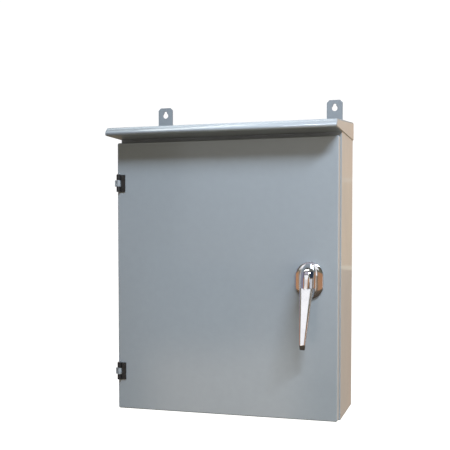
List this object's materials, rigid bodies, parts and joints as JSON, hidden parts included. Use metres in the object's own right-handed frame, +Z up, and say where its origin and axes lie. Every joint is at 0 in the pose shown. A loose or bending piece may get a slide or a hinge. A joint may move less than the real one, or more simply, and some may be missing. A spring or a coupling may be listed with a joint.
{
  "type": "automatic transfer switch",
  "caption": "Wall-mounted sheet-steel transfer switch box with a rain hood, hinged door, lever latch and a double-throw switch mechanism inside.",
  "frame": {"origin": "midway between the keyholes of the two mounting ears, on the wall plane at the back of the ears", "axes": "+Z up, the wall is on the +Y side, the door and handle face -Y, the door hinges are on the -X side"},
  "size_m": [0.5063, 0.2588, 0.704],
  "materials": {
    "enclosure_paint": "semi-gloss blue-grey enamel on sheet steel",
    "zinc_plate": "zinc-plated sheet, satin",
    "zinc_fasteners": "zinc-plated screws and nuts",
    "hinge_black": "black enamel on steel",
    "hinge_steel": "plain steel pin",
    "handle_chrome": "polished chrome plate",
    "shaft_steel": "ground steel",
    "seal_rubber": "matt black rubber",
    "copper": "bare copper with light tarnish",
    "bronze": "sintered bronze",
    "base_moulding": "black moulded insulation",
    "barrier_moulding": "red-brown glass polyester",
    "chute_moulding": "buff arc-resistant moulding",
    "coil_wrap": "amber varnished tape",
    "device_grey": "light grey moulded case",
    "control_black": "black moulded plastic",
    "relay_case": "pale translucent case",
    "strip_beige": "beige polyamide",
    "button_green": "green push button",
    "lever_red": "red handle moulding"
  },
  "bodies": {
    "enclosure": {"enclosure_body": "enclosure_paint", "rain_hood": "enclosure_paint", "mounting_ear_left": "enclosure_paint", "mounting_ear_right": "enclosure_paint", "ear_bolts": "zinc_fasteners", "gland_plate": "zinc_plate", "gland_gasket": "seal_rubber", "gland_screws": "zinc_fasteners", "cable_grommets": "seal_rubber", "upper_hinge_frame_leaf": "enclosure_paint", "lower_hinge_frame_leaf": "enclosure_paint", "hinge_pins": "hinge_steel", "hinge_frame_screws": "zinc_fasteners", "mounting_plate": "zinc_plate", "plate_studs": "zinc_fasteners", "plate_nuts": "zinc_fasteners", "switch_base": "base_moulding", "shaft_brackets": "zinc_plate", "shaft_bushes": "bronze", "normal_contacts": "copper", "emergency_contacts": "copper", "load_terminals": "copper", "terminal_screws": "zinc_fasteners", "phase_barriers": "barrier_moulding", "arc_chutes": "chute_moulding", "solenoid_frame": "zinc_plate", "solenoid_coil": "coil_wrap", "din_rail": "zinc_plate", "control_breaker": "device_grey", "relay_sockets": "base_moulding", "control_relays": "relay_case", "time_delay_relay": "device_grey", "terminal_strip": "strip_beige", "control_bracket": "zinc_plate", "selector_body": "control_black", "test_button_body": "control_black", "neutral_bar": "copper", "neutral_insulators": "barrier_moulding", "ground_bar": "copper"},
    "door": {"door": "enclosure_paint", "door_gasket": "seal_rubber", "upper_hinge_door_leaf": "hinge_black", "lower_hinge_door_leaf": "hinge_black", "hinge_door_screws": "hinge_black", "handle_rose": "handle_chrome", "handle_seal": "seal_rubber", "handle_back_nut": "zinc_fasteners"},
    "handle": {"handle_lever": "handle_chrome", "handle_spindle": "shaft_steel", "latch_cam": "zinc_fasteners", "cam_nut": "zinc_fasteners"},
    "transfer_shaft": {"main_shaft": "shaft_steel", "contact_carriers": "barrier_moulding", "moving_contacts": "copper", "shaft_crank": "shaft_steel", "manual_lever": "lever_red"},
    "plunger": {"solenoid_plunger": "shaft_steel"},
    "toggle": {"breaker_toggle": "control_black"},
    "selector": {"selector_knob": "control_black"},
    "button": {"test_button": "button_green"}
  },
  "joints": [
    {"name": "door_swing", "type": "hinge", "parent": "enclosure", "child": "door", "pos_m": [-0.2435, -0.205, -0.385], "axis": [0, 0, -1], "range_deg": [0, 140]},
    {"name": "handle_turn", "type": "hinge", "parent": "door", "child": "handle", "pos_m": [0.188, -0.2, -0.388], "axis": [0, 1, 0], "range_deg": [0, 90]},
    {"name": "transfer_rock", "type": "hinge", "parent": "enclosure", "child": "transfer_shaft", "pos_m": [0, -0.095, -0.355], "axis": [1, 0, 0], "range_deg": [0, 24]},
    {"name": "plunger_slide", "type": "slide", "parent": "enclosure", "child": "plunger", "axis": [0, 0, -1], "range_m": [0, 0.0159]},
    {"name": "breaker_toggle_flip", "type": "hinge", "parent": "enclosure", "child": "toggle", "pos_m": [-0.15875, -0.082, -0.18], "axis": [1, 0, 0], "range_deg": [0, 60]},
    {"name": "selector_turn", "type": "hinge", "parent": "enclosure", "child": "selector", "pos_m": [0.147, -0.113, -0.173], "axis": [0, 1, 0], "range_deg": [-45, 45]},
    {"name": "test_button_press", "type": "slide", "parent": "enclosure", "child": "button", "axis": [0, 1, 0], "range_m": [0, 0.004], "stiffness_N_per_m": 250}
  ],
  "couplings": [
    {"joint": "plunger_slide", "follows": "transfer_rock", "m_per_rad": 0.037723}
  ]
}
